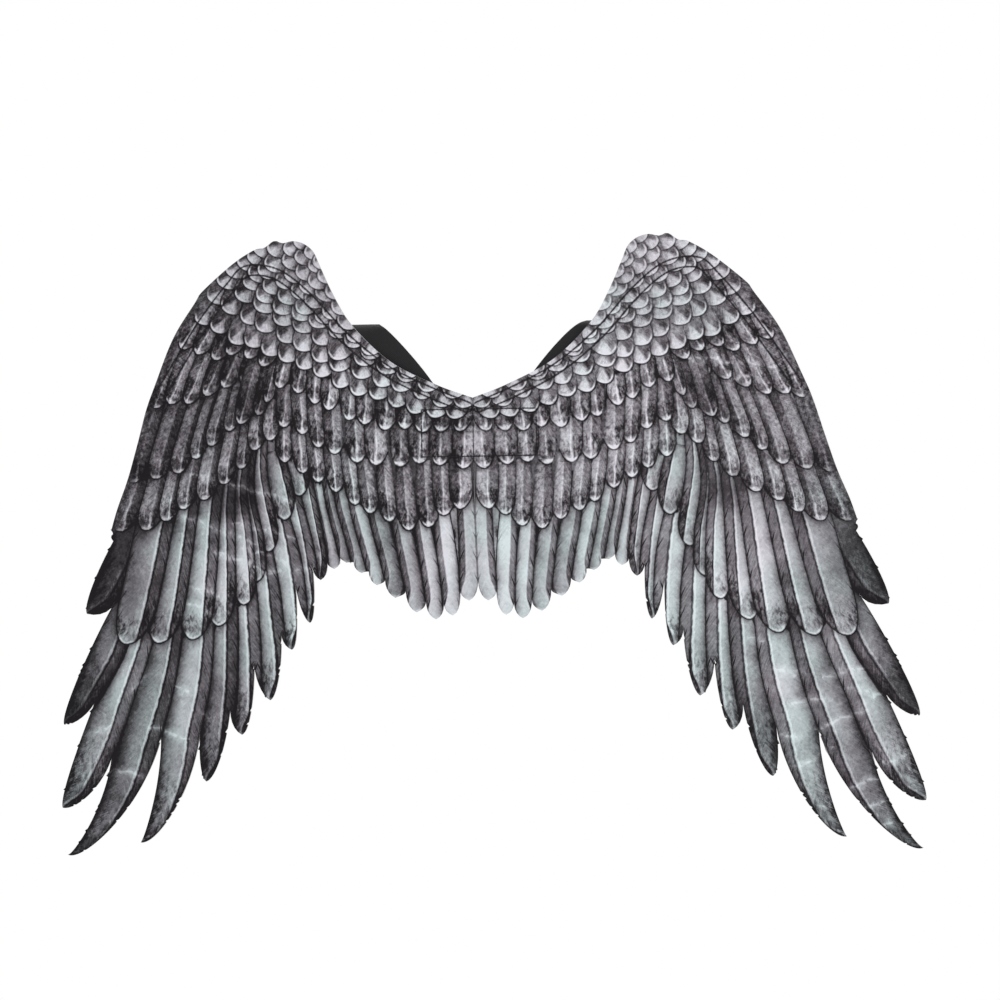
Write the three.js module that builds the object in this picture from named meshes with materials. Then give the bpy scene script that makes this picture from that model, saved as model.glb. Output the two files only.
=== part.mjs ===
// Costume angel wings that are worn on the back.
// Two wings are cut from printed cloth and sewn together down the middle, and each wing ends
// in a fringe of feather tips. Behind them, on the wearer's side, a cloth channel stiffens the
// upper edge of each wing, and a back patch holds the ends of two elastic shoulder straps.
// Frame: X to the wearer's right, Y forwards from the wearer's back, Z up. The origin is the
// middle of the patch face that lies on the back. The printed side of the wings faces -Y.
import * as THREE from 'three';

// Overall sizes of the wings, in millimetres
const halfSpan = 376; // centre seam to the outermost feather tip
const wingHeight = 531; // top of a wing to its lowest feather tip
const featherWidth = 24; // usual width of a feather near its tip

// Cloth layers
const clothThickness = 1.5;
const layerGap = 0.3; // clearance between two layers that are sewn together
const seamGap = 0.3; // clearance between the two wings along the centre seam

// Back patch
const patchWidth = 108;
const patchHeight = 50;
const patchThickness = 1.5;
const patchCorner = 4; // radius of its corners
const patchMargin = 5.6; // neckline above the top edge of the patch, at the seam

// Stiffening channel
const channelWidth = 12;
const channelRise = 1.8; // thickness along its middle, over the stiffener
const channelHem = 0.8; // thickness along its two sewn edges
const channelCrown = 0.4; // width of the raised middle, as a share of the channel's width

// Shoulder straps
const strapWidth = 25;
const strapThickness = 1.2;
const strapInset = 5; // side edge of the patch to the edge of a strap end
const strapBite = 16; // length of a strap end that the patch covers
const shoulderOut = 101; // centre seam to the middle of a strap on top of the shoulder
const shoulderRise = 94; // top of the shoulder above the middle of the patch
const armpitDrop = 78; // underside of the arm below the middle of the patch
const loopDepth = 125; // back of the shoulder to its front
const backFlatness = 2; // above 1, a loop keeps close to the flat of the back

// How the cloth hangs
const seamOffset = 6; // the seam lies this far to the left of the patch's middle
const foldSlope = 0.1; // forward fold of a wing for each millimetre outwards
const leanSlope = 0.12; // forward lean of the outer wing for each millimetre down
const flatHalf = 62; // the wings lie flat to this far on both sides of the seam
const leanFull = 300; // distance from the seam where the lean is complete
const waistDrop = 60; // the centre hangs flat to this far below the patch's middle
const waistSlope = 0.25; // and from there it follows the hollow of the back
const rippleDepth = 2.6; // height of the soft ripples in the lower part
const ripplePitch = 96; // distance from one ripple to the next
const rippleSlant = 0.3; // sideways shift of a ripple for each millimetre down

// How finely the cloth is divided
const attachedRows = 12; // from the upper edge to the notch between two feathers
const freeRows = 7; // from the notch to the feather tip
const strapSteps = 44;
const channelSteps = 36;

// Outline of the upper edge, from the neckline at the seam over the top of the wing and down its
// leading edge. out is a share of halfSpan, and down a share of wingHeight below the top.
const upperEdge = [
  { out: 0.0, down: 0.257 },
  { out: 0.079, down: 0.236 },
  { out: 0.183, down: 0.198 },
  { out: 0.268, down: 0.141 },
  { out: 0.31, down: 0.093 },
  { out: 0.343, down: 0.041 },
  { out: 0.357, down: 0.019 },
  { out: 0.378, down: 0.006 },
  { out: 0.404, down: 0.001 },
  { out: 0.428, down: 0.004 },
  { out: 0.447, down: 0.0 },
  { out: 0.471, down: 0.011 },
  { out: 0.494, down: 0.014 },
  { out: 0.546, down: 0.036 },
  { out: 0.618, down: 0.078 },
  { out: 0.637, down: 0.096 },
  { out: 0.693, down: 0.154 },
  { out: 0.74, down: 0.228 },
  { out: 0.763, down: 0.268 },
  { out: 0.788, down: 0.325 },
  { out: 0.814, down: 0.382 },
  { out: 0.841, down: 0.429 },
  { out: 0.857, down: 0.463 },
];
const seamNotchDown = 0.553; // foot of the centre seam, as a share of wingHeight
const leadingEdgeEnd = 0.985; // where the upper edge becomes the side of the last feather

// Feather tips, from the centre seam to the leading edge.
//   out, down: the tip, as shares of halfSpan and wingHeight
//   width, bow: half the width of the rounded end and its sideways bow, as shares of featherWidth
//   root: where the line to the next feather leaves the upper edge, as a share of its length
//   notchOut, notchDown: the notch between this feather and the next, as shares
const feathers = [
  { out: 0.022, down: 0.583, width: 0.22, bow: 0.0, root: 0.028, notchOut: 0.041, notchDown: 0.567 },
  { out: 0.061, down: 0.607, width: 0.25, bow: 0.0, root: 0.057, notchOut: 0.08, notchDown: 0.584 },
  { out: 0.099, down: 0.613, width: 0.25, bow: 0.0, root: 0.088, notchOut: 0.121, notchDown: 0.584 },
  { out: 0.143, down: 0.601, width: 0.24, bow: 0.0, root: 0.12, notchOut: 0.166, notchDown: 0.567 },
  { out: 0.19, down: 0.577, width: 0.22, bow: 0.0, root: 0.152, notchOut: 0.212, notchDown: 0.548 },
  { out: 0.231, down: 0.556, width: 0.2, bow: 0.0, root: 0.184, notchOut: 0.248, notchDown: 0.534 },
  { out: 0.265, down: 0.536, width: 0.2, bow: 0.0, root: 0.212, notchOut: 0.282, notchDown: 0.518 },
  { out: 0.299, down: 0.519, width: 0.18, bow: 0.0, root: 0.239, notchOut: 0.313, notchDown: 0.51 },
  { out: 0.328, down: 0.529, width: 0.18, bow: 0.0, root: 0.266, notchOut: 0.344, notchDown: 0.518 },
  { out: 0.361, down: 0.547, width: 0.2, bow: 0.0, root: 0.292, notchOut: 0.38, notchDown: 0.522 },
  { out: 0.391, down: 0.617, width: 0.2, bow: 0.0, root: 0.319, notchOut: 0.422, notchDown: 0.551 },
  { out: 0.437, down: 0.661, width: 0.24, bow: 0.0, root: 0.346, notchOut: 0.461, notchDown: 0.634 },
  { out: 0.494, down: 0.744, width: 0.26, bow: 0.0, root: 0.374, notchOut: 0.528, notchDown: 0.686 },
  { out: 0.565, down: 0.801, width: 0.3, bow: 0.0, root: 0.402, notchOut: 0.59, notchDown: 0.76 },
  { out: 0.654, down: 0.878, width: 0.3, bow: 0.05, root: 0.435, notchOut: 0.662, notchDown: 0.786 },
  { out: 0.818, down: 0.98, width: 0.26, bow: 0.65, root: 0.469, notchOut: 0.76, notchDown: 0.808 },
  { out: 0.992, down: 1.0, width: 0.24, bow: 0.8, root: 0.509, notchOut: 0.879, notchDown: 0.841 },
  { out: 1.0, down: 0.922, width: 0.36, bow: 0.2, root: 0.562, notchOut: 0.914, notchDown: 0.748 },
  { out: 0.989, down: 0.784, width: 0.28, bow: 0.0, root: 0.655, notchOut: 0.856, notchDown: 0.582 },
  { out: 0.924, down: 0.601, width: 0.34, bow: 0.1, root: 0.748, notchOut: 0.854, notchDown: 0.482 },
  { out: 0.857, down: 0.472, width: 0.1, bow: 0.0, root: 0.79, notchOut: 0.859, notchDown: 0.463 },
];

// Middle line of the stiffening channel, from the seam to its outer end, in the same shares.
const channelLine = [
  { out: 0.012, down: 0.272 },
  { out: 0.1, down: 0.246 },
  { out: 0.198, down: 0.21 },
  { out: 0.291, down: 0.156 },
  { out: 0.372, down: 0.093 },
  { out: 0.442, down: 0.054 },
  { out: 0.511, down: 0.047 },
  { out: 0.551, down: 0.072 },
  { out: 0.616, down: 0.127 },
  { out: 0.667, down: 0.179 },
  { out: 0.728, down: 0.244 },
];

const necklineZ = patchHeight / 2 + patchMargin;
const topZ = necklineZ + upperEdge[0].down * wingHeight;
const patchBackY = -patchThickness;
const strapMiddleY = patchBackY - layerGap - strapThickness / 2;
const channelBaseY = strapMiddleY - strapThickness / 2 - layerGap - channelRise;
const clothBackY = channelBaseY - layerGap;

// A point of the flat pattern, as (distance from the seam, height).
const patternPoint = (out, down) => new THREE.Vector2(out * halfSpan, topZ - down * wingHeight);

// How far a point of the pattern stands forward of the flat centre, on the wearer's side.
function hangAt(x, z) {
  const away = Math.abs(x);
  const lean = THREE.MathUtils.smoothstep(away, flatHalf, leanFull);
  const leaning = foldSlope * (away - flatHalf) + leanSlope * (topZ - z);
  const waist = waistSlope * Math.max(0, -waistDrop - z);
  const low = THREE.MathUtils.smoothstep(topZ - z, wingHeight / 3, wingHeight);
  const ripple = Math.sin((2 * Math.PI * (away + rippleSlant * z)) / ripplePitch);
  return lean * leaning + (1 - lean) * waist + rippleDepth * low * lean * ripple;
}

// Closes a flat triangulation into a sheet that hangs as the cloth does. Each triangle of
// points runs anticlockwise, seen from the printed side.
function hangingSheet(triangles, side) {
  const points = [];
  const numbers = new Map();
  const numberOf = (point) => {
    const key = `${point.x.toFixed(3)} ${point.y.toFixed(3)}`;
    if (!numbers.has(key)) {
      numbers.set(key, points.length);
      points.push(point);
    }
    return numbers.get(key);
  };
  const front = triangles.map((triangle) => triangle.map(numberOf));
  const ahead = points.length;
  const edges = new Set();
  front.forEach(([a, b, c]) => [[a, b], [b, c], [c, a]].forEach((edge) => edges.add(edge.join())));
  const faces = [];
  front.forEach(([a, b, c]) => faces.push([a, b, c], [a + ahead, c + ahead, b + ahead]));
  edges.forEach((edge) => {
    const [a, b] = edge.split(',').map(Number);
    if (!edges.has(`${b},${a}`)) faces.push([b, a, a + ahead], [b, a + ahead, b + ahead]);
  });
  const positions = [clothThickness, 0].flatMap((depth) =>
    points.flatMap(({ x, y: z }) => [side * x - seamOffset, clothBackY - depth + hangAt(x, z), z])
  );
  const index = faces.flatMap(([a, b, c]) => (side > 0 ? [a, b, c] : [a, c, b]));
  return new THREE.BufferGeometry()
    .setAttribute('position', new THREE.Float32BufferAttribute(positions, 3))
    .setIndex(index);
}

// The upper edge of a wing as one smooth curve.
const upperCurve = new THREE.SplineCurve(upperEdge.map(({ out, down }) => patternPoint(out, down)));
upperCurve.arcLengthDivisions = 2000;

// A point of the line between two feathers, from the upper edge (0) to their notch (1).
// Line 0 is the centre seam, and the last line is the leading edge.
function lineBetween(number, share) {
  const start = number === 0 ? 0 : feathers[number - 1].root;
  if (number === feathers.length) {
    return upperCurve.getPointAt(THREE.MathUtils.lerp(start, leadingEdgeEnd, share));
  }
  const { notchOut, notchDown } =
    number === 0 ? { notchOut: 0, notchDown: seamNotchDown } : feathers[number - 1];
  const line = upperCurve.getPointAt(start).lerp(patternPoint(notchOut, notchDown), share);
  line.x = Math.max(line.x, seamGap / 2);
  return line;
}

// The two sides of a feather's free end, from their notches to the tip.
function freeSides(number) {
  const { out, down, width, bow } = feathers[number];
  const tip = patternPoint(out, down);
  const notches = [lineBetween(number, 1), lineBetween(number + 1, 1)];
  const axis = tip.clone().sub(notches[0].clone().lerp(notches[1], 0.5)).normalize();
  const across = new THREE.Vector2(-axis.y, axis.x);
  return notches.map((notch, i) => {
    const sideways = i === 0 ? -width : width;
    const reach = tip.clone().sub(notch).dot(axis);
    const shift = across.clone().multiplyScalar(-bow * featherWidth);
    const leaving = notch.clone().addScaledVector(axis, 0.45 * reach).add(shift);
    const arriving = tip.clone().addScaledVector(across, sideways * featherWidth);
    arriving.addScaledVector(axis, -0.4 * width * featherWidth).addScaledVector(shift, 0.5);
    return new THREE.CubicBezierCurve(notch, leaving, arriving, tip);
  });
}

// Triangles of one feather, from the upper edge to its tip, in two strips side by side.
function featherTriangles(number) {
  const rows = [];
  for (let row = 0; row <= attachedRows; row++) {
    const share = row / attachedRows;
    const sides = [lineBetween(number, share), lineBetween(number + 1, share)];
    rows.push([sides[0], sides[0].clone().lerp(sides[1], 0.5), sides[1]]);
  }
  const starts = [number === 0 ? 0 : feathers[number - 1].root, feathers[number].root];
  rows[0][1] = upperCurve.getPointAt((starts[0] + starts[1]) / 2);
  const curves = freeSides(number);
  for (let row = 1; row < freeRows; row++) {
    const sides = curves.map((curve) => curve.getPoint(row / freeRows));
    rows.push([sides[0], sides[0].clone().lerp(sides[1], 0.5), sides[1]]);
  }
  const triangles = [];
  rows.slice(1).forEach((lower, row) => {
    const upper = rows[row];
    for (let strip = 0; strip < 2; strip++) {
      triangles.push([upper[strip], lower[strip], lower[strip + 1]]);
      triangles.push([upper[strip], lower[strip + 1], upper[strip + 1]]);
    }
  });
  const last = rows[rows.length - 1];
  const tip = curves[0].getPoint(1);
  triangles.push([last[0], tip, last[1]], [last[1], tip, last[2]]);
  return triangles;
}

function wingGeometry(side) {
  return hangingSheet(feathers.flatMap((_, number) => featherTriangles(number)), side);
}

// Sweeps a section through a list of frames. Each frame gives the section's corners in space.
function sweptSolid(frames) {
  const corners = frames[0].length;
  const positions = frames.flat().flatMap((point) => point.toArray());
  const index = [];
  for (let step = 1; step < frames.length; step++) {
    for (let corner = 0; corner < corners; corner++) {
      const next = (corner + 1) % corners;
      const [a, b] = [(step - 1) * corners + corner, (step - 1) * corners + next];
      index.push(a, b, b + corners, a, b + corners, a + corners);
    }
  }
  const end = (frames.length - 1) * corners;
  for (let corner = 1; corner < corners - 1; corner++) {
    index.push(0, corner + 1, corner, end, end + corner, end + corner + 1);
  }
  return new THREE.BufferGeometry()
    .setAttribute('position', new THREE.Float32BufferAttribute(positions, 3))
    .setIndex(index);
}

// A low ridge of cloth that lies on the wearer's side of the wing and follows its surface.
function channelGeometry(side) {
  const line = new THREE.SplineCurve(channelLine.map(({ out, down }) => patternPoint(out, down)));
  const section = [
    { across: -0.5, rise: 0 },
    { across: -0.5, rise: channelHem },
    { across: -channelCrown / 2, rise: channelRise },
    { across: channelCrown / 2, rise: channelRise },
    { across: 0.5, rise: channelHem },
    { across: 0.5, rise: 0 },
  ];
  const frames = [];
  for (let step = 0; step <= channelSteps; step++) {
    const middle = line.getPointAt(step / channelSteps);
    const along = line.getTangentAt(step / channelSteps);
    const across = new THREE.Vector2(-along.y, along.x).multiplyScalar(channelWidth);
    const corners = section.map((corner) => {
      const { x, y: z } = middle.clone().addScaledVector(across, corner.across);
      return new THREE.Vector3(side * x - seamOffset, channelBaseY + hangAt(x, z) + corner.rise, z);
    });
    frames.push(side < 0 ? corners.reverse() : corners);
  }
  return sweptSolid(frames);
}

// The middle of a strap at a turn round its loop: 0 lies flat on the back at the patch, a
// quarter turn is the top of the shoulder, a half its front, and three quarters the armpit.
const loopMiddleZ = (shoulderRise - armpitDrop) / 2;
const loopRadius = (shoulderRise + armpitDrop) / 2;
const anchorOut = patchWidth / 2 - strapInset - strapWidth / 2;
const anchorUp = patchHeight / 2 - strapBite;

function strapMiddle(turn, side) {
  const [rise, forward] = [Math.sin(turn), Math.cos(turn)];
  const reach = forward > 0 ? Math.abs(rise) ** 1.4 : 1;
  return new THREE.Vector3(
    side * THREE.MathUtils.lerp(anchorOut, shoulderOut, reach),
    strapMiddleY + loopDepth * ((1 - forward) / 2) ** backFlatness,
    loopMiddleZ + loopRadius * rise
  );
}

function strapGeometry(side) {
  const first = Math.asin((anchorUp - loopMiddleZ) / loopRadius);
  const last = 2 * Math.PI - Math.asin((anchorUp + loopMiddleZ) / loopRadius);
  const frames = [];
  for (let step = 0; step <= strapSteps; step++) {
    const turn = THREE.MathUtils.lerp(first, last, step / strapSteps);
    const middle = strapMiddle(turn, side);
    const nearby = 0.01;
    const along = strapMiddle(turn + nearby, side).sub(strapMiddle(turn - nearby, side)).normalize();
    const out = new THREE.Vector3(0, -along.z, along.y);
    const across = out.cross(along).normalize();
    const away = along.clone().cross(across);
    const corner = (u, v) =>
      middle
        .clone()
        .addScaledVector(across, (u * strapWidth) / 2)
        .addScaledVector(away, (v * strapThickness) / 2);
    frames.push([corner(-1, -1), corner(1, -1), corner(1, 1), corner(-1, 1)]);
  }
  return sweptSolid(frames);
}

function patchGeometry() {
  const [w, h, r] = [patchWidth / 2, patchHeight / 2, patchCorner];
  const outline = new THREE.Shape();
  outline.moveTo(-w + r, -h);
  outline.lineTo(w - r, -h).absarc(w - r, -h + r, r, -Math.PI / 2, 0);
  outline.lineTo(w, h - r).absarc(w - r, h - r, r, 0, Math.PI / 2);
  outline.lineTo(-w + r, h).absarc(-w + r, h - r, r, Math.PI / 2, Math.PI);
  outline.lineTo(-w, -h + r).absarc(-w + r, -h + r, r, Math.PI, 1.5 * Math.PI);
  const options = { depth: patchThickness, bevelEnabled: false, curveSegments: 4 };
  return new THREE.ExtrudeGeometry(outline, options).rotateX(Math.PI / 2);
}

const printedCloth = new THREE.MeshStandardMaterial({ color: 0x77747a, roughness: 0.85, metalness: 0 });
const plainCloth = new THREE.MeshStandardMaterial({ color: 0xb9b7b5, roughness: 0.9, metalness: 0 });
const elastic = new THREE.MeshStandardMaterial({ color: 0x141414, roughness: 0.8, metalness: 0 });

function piece(name, geometry, material) {
  const mesh = new THREE.Mesh(geometry, material);
  mesh.name = name;
  return mesh;
}

const wings = new THREE.Group();
wings.add(piece('back_patch', patchGeometry(), plainCloth));
for (const [hand, side] of [['left', -1], ['right', 1]]) {
  wings.add(piece(`${hand}_wing`, wingGeometry(side), printedCloth));
  wings.add(piece(`${hand}_stay_channel`, channelGeometry(side), plainCloth));
  wings.add(piece(`${hand}_strap`, strapGeometry(side), elastic));
}

export default wings;
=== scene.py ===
"""Angel wings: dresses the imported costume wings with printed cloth, thread, elastic and a stage."""

import math

import bpy
import numpy as np
from mathutils import Matrix, Vector
from mathutils.geometry import delaunay_2d_cdt


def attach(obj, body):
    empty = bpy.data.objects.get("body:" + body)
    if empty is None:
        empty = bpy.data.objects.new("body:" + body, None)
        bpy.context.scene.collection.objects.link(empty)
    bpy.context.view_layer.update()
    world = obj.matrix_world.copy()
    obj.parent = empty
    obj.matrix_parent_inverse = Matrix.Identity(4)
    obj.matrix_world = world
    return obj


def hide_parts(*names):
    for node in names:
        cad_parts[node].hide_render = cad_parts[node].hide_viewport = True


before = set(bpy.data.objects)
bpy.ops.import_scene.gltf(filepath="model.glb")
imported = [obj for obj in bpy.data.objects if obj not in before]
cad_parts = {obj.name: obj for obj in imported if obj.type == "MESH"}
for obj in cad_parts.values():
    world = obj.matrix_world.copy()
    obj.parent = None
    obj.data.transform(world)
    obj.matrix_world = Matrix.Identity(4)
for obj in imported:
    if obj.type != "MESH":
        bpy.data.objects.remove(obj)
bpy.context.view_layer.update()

bl_info = {
    "name": "Angel Wings",
    "version": (1, 0, 0),
    "blender": (4, 5, 0),
    "location": "3D View > Sidebar > Angel Wings",
    "description": "Printed cloth wings with a back patch, stay channels and elastic straps",
    "category": "Object",
}

MM = 0.001

# Frame of the flat pattern. It repeats the solids' sizes: x is counted from the centre seam and z
# from the middle of the back patch, both in millimetres.
HALF_SPAN = 376
WING_HEIGHT = 531
FEATHER_WIDTH = 24
PATCH_WIDTH, PATCH_HEIGHT, PATCH_THICKNESS = 108, 50, 1.5
NECKLINE_Z = PATCH_HEIGHT / 2 + 5.6
TOP_Z = NECKLINE_Z + 0.257 * WING_HEIGHT
SEAM_OFFSET = 6
CHANNEL_BASE = -5.1
CLOTH_FRONT = -6.9

# How the cloth hangs, as the solids do
FOLD_SLOPE = 0.1
LEAN_SLOPE = 0.12
FLAT_HALF = 62
LEAN_FULL = 300
WAIST_DROP = 60
WAIST_SLOPE = 0.25
RIPPLE_DEPTH = 2.6
RIPPLE_PITCH = 96
RIPPLE_SLANT = 0.3

# Relief of the cloth: crumples and creases where it hangs free, the padding over a channel, and the
# fold beside the centre seam
CRUMPLE_DEPTH, LOOSE_DEPTH = 0.5, 0.4
CREASE_HEIGHT, CREASE_WIDTH = 0.5, 2.2
PADDING_HEIGHT, PADDING_WIDTH = 0.9, 3.4
SEAM_DEPTH, SEAM_WIDTH = 1.1, 1.6

# Upper edge of a wing: (out, down) as shares of HALF_SPAN and WING_HEIGHT
UPPER_EDGE = [
    (0.0, 0.257),
    (0.079, 0.236),
    (0.183, 0.198),
    (0.268, 0.141),
    (0.31, 0.093),
    (0.343, 0.041),
    (0.357, 0.019),
    (0.378, 0.006),
    (0.404, 0.001),
    (0.428, 0.004),
    (0.447, 0.0),
    (0.471, 0.011),
    (0.494, 0.014),
    (0.546, 0.036),
    (0.618, 0.078),
    (0.637, 0.096),
    (0.693, 0.154),
    (0.74, 0.228),
    (0.763, 0.268),
    (0.788, 0.325),
    (0.814, 0.382),
    (0.841, 0.429),
    (0.857, 0.463),
]
SEAM_FOOT = 0.553

# Feather tips at the cut edge, from the seam outwards: the tip (out, down), half the width of its
# rounded end and its sideways bow as shares of FEATHER_WIDTH, and the notch that follows it
TIPS = [
    (0.022, 0.583, 0.22, 0.0, 0.041, 0.567),
    (0.061, 0.607, 0.25, 0.0, 0.08, 0.584),
    (0.099, 0.613, 0.25, 0.0, 0.121, 0.584),
    (0.143, 0.601, 0.24, 0.0, 0.166, 0.567),
    (0.19, 0.577, 0.22, 0.0, 0.212, 0.548),
    (0.231, 0.556, 0.2, 0.0, 0.248, 0.534),
    (0.265, 0.536, 0.2, 0.0, 0.282, 0.518),
    (0.299, 0.519, 0.18, 0.0, 0.313, 0.51),
    (0.328, 0.529, 0.18, 0.0, 0.344, 0.518),
    (0.361, 0.547, 0.2, 0.0, 0.38, 0.522),
    (0.391, 0.617, 0.2, 0.0, 0.422, 0.551),
    (0.437, 0.661, 0.24, 0.0, 0.461, 0.634),
    (0.494, 0.744, 0.26, 0.0, 0.528, 0.686),
    (0.565, 0.801, 0.3, 0.0, 0.59, 0.76),
    (0.654, 0.878, 0.3, 0.05, 0.662, 0.786),
    (0.818, 0.98, 0.26, 0.65, 0.76, 0.808),
    (0.992, 1.0, 0.24, 0.8, 0.879, 0.841),
    (1.0, 0.922, 0.36, 0.2, 0.914, 0.748),
    (0.989, 0.784, 0.28, 0.0, 0.856, 0.582),
    (0.924, 0.601, 0.34, 0.1, 0.854, 0.482),
    (0.857, 0.472, 0.1, 0.0, 0.859, 0.463),
]

# Middle line of a stiffening channel, in the same shares
CHANNEL_LINE = [
    (0.012, 0.272),
    (0.1, 0.246),
    (0.198, 0.21),
    (0.291, 0.156),
    (0.372, 0.093),
    (0.442, 0.054),
    (0.511, 0.047),
    (0.551, 0.072),
    (0.616, 0.127),
    (0.667, 0.179),
    (0.728, 0.244),
]
CHANNEL_WIDTH, CHANNEL_RISE, CHANNEL_HEM, CHANNEL_CROWN = 12, 1.8, 0.8, 0.4
CHANNEL_SEAM = 4.4

# The rectangle of stitches that holds the wings to the patch: left, right, bottom and top
PATCH_STITCHES = (-50, 48, -19, 21)

# Loop of a shoulder strap, as the solids have it
STRAP_WIDTH, STRAP_THICKNESS, STRAP_MIDDLE = 25, 1.2, -2.4
STRAP_ANCHOR_OUT, STRAP_ANCHOR_UP = 36.5, 9
SHOULDER_OUT, LOOP_DEPTH, LOOP_MIDDLE, LOOP_RADIUS = 101, 125, 8, 86

# Kinds of printed feather, from the lowest layer up, and the bare margin beside them
QUILL, BLADE, LONG, COVERT, SCALE, MARGIN = range(6)

# The rounded end of each kind: its length as a multiple of half the width, and how pointed it is
ENDS = {QUILL: (2.6, 0.6), BLADE: (1.9, 0.55), LONG: (2.3, 0.54), COVERT: (1.8, 0.51), SCALE: (0.98, 0.5)}

# How fast the dark line round each kind fades from its rounded end towards its root
OUTLINE_FADE = {QUILL: 0, BLADE: 0.004, LONG: 0.004, COVERT: 0.02, SCALE: 0.2}

# The way that the feathers point at a few places of a wing: x, z, and degrees outwards from down
GRAIN = [
    (0, 20, 0),
    (0, -120, 3),
    (35, -120, -6),
    (60, -110, -9),
    (85, -100, -14),
    (110, -80, -14),
    (132, -90, -9),
    (150, -110, -6),
    (60, -40, -4),
    (105, -30, -9),
    (135, -10, -9),
    (60, 15, 1),
    (105, 30, 0),
    (148, 20, -6),
    (170, -40, -14),
    (190, -75, -12),
    (185, -180, -5),
    (205, -110, -3),
    (208, -210, 2),
    (168, 15, 5),
    (186, 35, 14),
    (212, -20, 14),
    (222, -110, 2),
    (238, -250, 8),
    (250, -40, 15),
    (245, -110, 7),
    (272, -110, 11),
    (285, -45, 18),
    (300, -130, 15),
    (310, -60, 24),
    (330, -120, 30),
    (345, -200, 25),
    (270, -250, 16),
    (295, -330, 27),
    (300, -250, 20),
    (345, -340, 37),
    (330, -260, 20),
    (365, -310, 22),
    (262, 0, 21),
    (230, 20, 21),
    (265, 60, 23),
    (245, 90, 30),
    (220, 75, 26),
    (200, 60, 24),
    (225, 115, 42),
    (200, 110, 34),
    (175, 95, 18),
    (175, 125, 38),
    (190, 148, 55),
    (155, 155, 62),
    (140, 130, 45),
    (140, 95, 20),
    (115, 60, 6),
    (110, 95, 30),
    (75, 45, 6),
    (40, 30, 2),
]

# Rows of printed feathers, from the lowest layer up: kind, how many, length at the row's inner and
# outer ends, half-width as a share of the space between two tips, and the line of the row's tips
ROWS = [
    (LONG, 9, (130, 210), 0.58,
     [(148, -50), (156, -60), (166, -76), (181, -102), (196, -134),
      (217, -157), (247, -174), (275, -177), (309, -178)]),
    (COVERT, 7, (80, 90), 0.54, [(203, -27), (226, -47), (246, -56), (266, -66), (288, -79), (314, -81)]),
    (COVERT, 11, (62, 50), 0.54,
     [(9, -63), (29, -70), (47, -82), (66, -75), (85, -67), (116, -48), (150, -28), (162, -22)]),
    (COVERT, 6, (78, 88), 0.54, [(212, 6), (236, -12), (258, -28), (276, -33), (300, -38)]),
    (COVERT, 12, (50, 80), 0.55,
     [(8, -29), (38, -25), (75, -26), (99, -22), (129, -10), (157, 10), (174, -2), (191, -13)]),
    (COVERT, 6, (60, 75), 0.55, [(199, 44), (222, 40), (241, 31), (259, 31), (280, 25)]),
    (COVERT, 14, (36, 80), 0.55,
     [(8, 3), (44, 3), (80, 7), (98, 12), (127, 24), (152, 38), (170, 40), (187, 16), (201, 11)]),
    (COVERT, 6, (40, 50), 0.55, [(181, 60), (194, 66), (207, 70), (220, 67), (233, 71), (252, 77)]),
    (SCALE, 15, (27, 34), 0.57,
     [(14, 13), (35, 14), (62, 24), (97, 35), (131, 50), (160, 62), (187, 74), (208, 82), (237, 97)]),
    (SCALE, 14, (25, 32), 0.57,
     [(7, 21), (25, 24), (60, 38), (100, 49), (130, 64), (161, 80), (195, 97), (226, 116)]),
    (SCALE, 12, (24, 30), 0.57,
     [(16, 31), (35, 35), (76, 54), (108, 63), (136, 81), (165, 97), (199, 116), (216, 130)]),
    (SCALE, 11, (22, 28), 0.57,
     [(54, 48), (75, 60), (98, 71), (123, 87), (150, 98), (180, 115), (206, 138)]),
    (SCALE, 9, (21, 26), 0.57,
     [(86, 68), (100, 77), (124, 93), (146, 104), (166, 117), (182, 127), (200, 145)]),
    (SCALE, 7, (20, 24), 0.57, [(108, 92), (126, 104), (146, 114), (166, 128), (184, 140), (190, 150)]),
    (SCALE, 6, (18, 22), 0.57, [(114, 105), (138, 121), (158, 134), (174, 144), (184, 156)]),
    (SCALE, 5, (17, 20), 0.57, [(121, 118), (142, 132), (156, 143), (172, 156)]),
    (SCALE, 4, (16, 18), 0.57, [(127, 131), (144, 147), (158, 158)]),
    (SCALE, 3, (14, 16), 0.57, [(132, 145), (140, 154), (150, 163)]),
]

# Places where the print is darker, or lighter where the amount is below 0: x, z, reach and amount
DARK_PLACES = [
    (206, -50, 22, 0.45),
    (190, 30, 18, 0.3),
    (322, -95, 28, 0.5),
    (342, -130, 28, 0.48),
    (352, -195, 18, 0.3),
    (368, -230, 26, 0.42),
    (300, -20, 24, 0.25),
    (298, -130, 18, 0.2),
    (270, 0, 44, 0.14),
    (290, -62, 34, 0.12),
    (320, -290, 70, 0.1),
    (150, 150, 34, -0.14),
    (120, 60, 44, -0.16),
    (215, 25, 34, 0.12),
    (50, -105, 60, -0.1),
    (110, -10, 54, -0.22),
    (218, -128, 40, -0.2),
    (262, -100, 30, -0.1),
]

# The left wing's colour is made a little darker, with more contrast
LEFT_CONTRAST, LEFT_DARKENING = 1.12, 0.13

# Cut feathers whose tips are further out than this are quills, and the others are blades
QUILLS_FROM = 135

# Distances on the print are held up to FAR, and a feather's outline is looked for to SHADE_REACH
FAR = 20.0
SHADE_REACH = 16

# Mesh of the printed sheet: the space between free points, how far each is moved at random, and the
# start of the random numbers
MESH_PITCH, MESH_SHIFT = 3.2, 0.4
RANDOM_START = 7
SMOOTH_ANGLE = math.radians(40)

SIDES = (("left", -1), ("right", 1))

# The camera: degrees to the side, up and rolled, and its distance in metres
CAMERA_ANGLES = (6, 1, 1.05)
CAMERA_DISTANCE = 4.5
CAMERA_LENS = 190.6
CAMERA_SHIFT = (0.019, -0.0665)
FLOOR_SIZE, FLOOR_Z = 5, -0.95

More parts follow.
